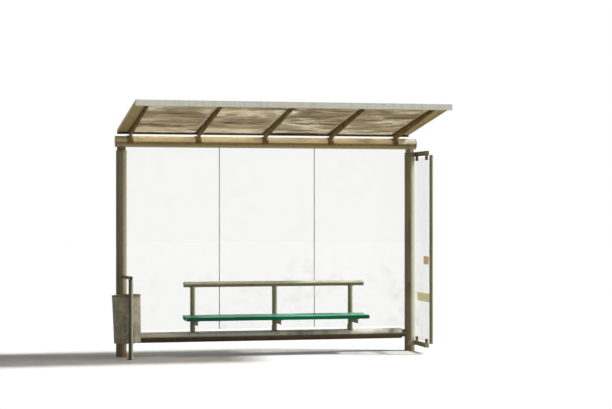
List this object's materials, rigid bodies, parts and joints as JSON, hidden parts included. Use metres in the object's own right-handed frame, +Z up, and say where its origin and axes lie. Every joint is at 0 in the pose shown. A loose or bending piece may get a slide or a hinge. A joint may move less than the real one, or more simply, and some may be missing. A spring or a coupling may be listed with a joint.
{
  "type": "bus shelter",
  "caption": "Open bus shelter: glazed cantilever roof on round posts, plank bench, glass back wall, glass end screen and a litter bin hung at one post.",
  "frame": {"origin": "middle of the left post's foot, at ground level", "axes": "+X along the shelter from the left post to the right one, +Y to the back wall's side, +Z up; the roof reaches out towards -Y"},
  "size_m": [3.6514, 1.694, 2.8193],
  "materials": {
    "frame_paint": "satin paint, weathered, with rust at the feet",
    "fascia_paint": "satin light grey paint, dusty",
    "tray_paint": "matt beige paint, stained",
    "clamp_paint": "satin paint, worn at the edges",
    "bin_paint": "dull grey paint, dented and rusty at the rim",
    "bronze_sheet": "translucent bronze sheet, dirty and streaked",
    "clear_glass": "clear toughened glass, dusty, with a few blank labels",
    "green_wood": "green gloss paint, worn",
    "black_plastic": "matt black"
  },
  "bodies": {
    "root": {"back_pane_1": "clear_glass", "back_pane_2": "clear_glass", "back_pane_3": "clear_glass", "backrest_rail": "frame_paint", "bin_body": "bin_paint", "bin_hangers": "bin_paint", "bin_post": "bin_paint", "bin_tie_channel": "bin_paint", "bottom_tube": "frame_paint", "channel_cap": "black_plastic", "cover_strips": "fascia_paint", "front_fascia": "fascia_paint", "left_edge_tray": "tray_paint", "left_neck": "frame_paint", "left_post": "frame_paint", "left_side_profile": "tray_paint", "left_tube_joint": "frame_paint", "pane_clamps": "clamp_paint", "rear_rail": "frame_paint", "right_edge_tray": "tray_paint", "right_neck": "frame_paint", "right_post": "frame_paint", "right_side_profile": "tray_paint", "right_tube_joint": "frame_paint", "roof_arm_1": "frame_paint", "roof_arm_2": "frame_paint", "roof_arm_3": "frame_paint", "roof_arm_4": "frame_paint", "roof_arm_5": "frame_paint", "roof_panel_1": "bronze_sheet", "roof_panel_2": "bronze_sheet", "roof_panel_3": "bronze_sheet", "roof_panel_4": "bronze_sheet", "screen_bottom_rail": "frame_paint", "screen_clips": "clamp_paint", "screen_edge_tube": "frame_paint", "screen_pane": "clear_glass", "screen_top_rail": "frame_paint", "seat_frame_1": "frame_paint", "seat_frame_2": "frame_paint", "seat_frame_3": "frame_paint", "seat_plank_1": "green_wood", "seat_plank_2": "green_wood", "seat_plank_3": "green_wood", "top_beam": "frame_paint"}
  },
  "joints": []
}
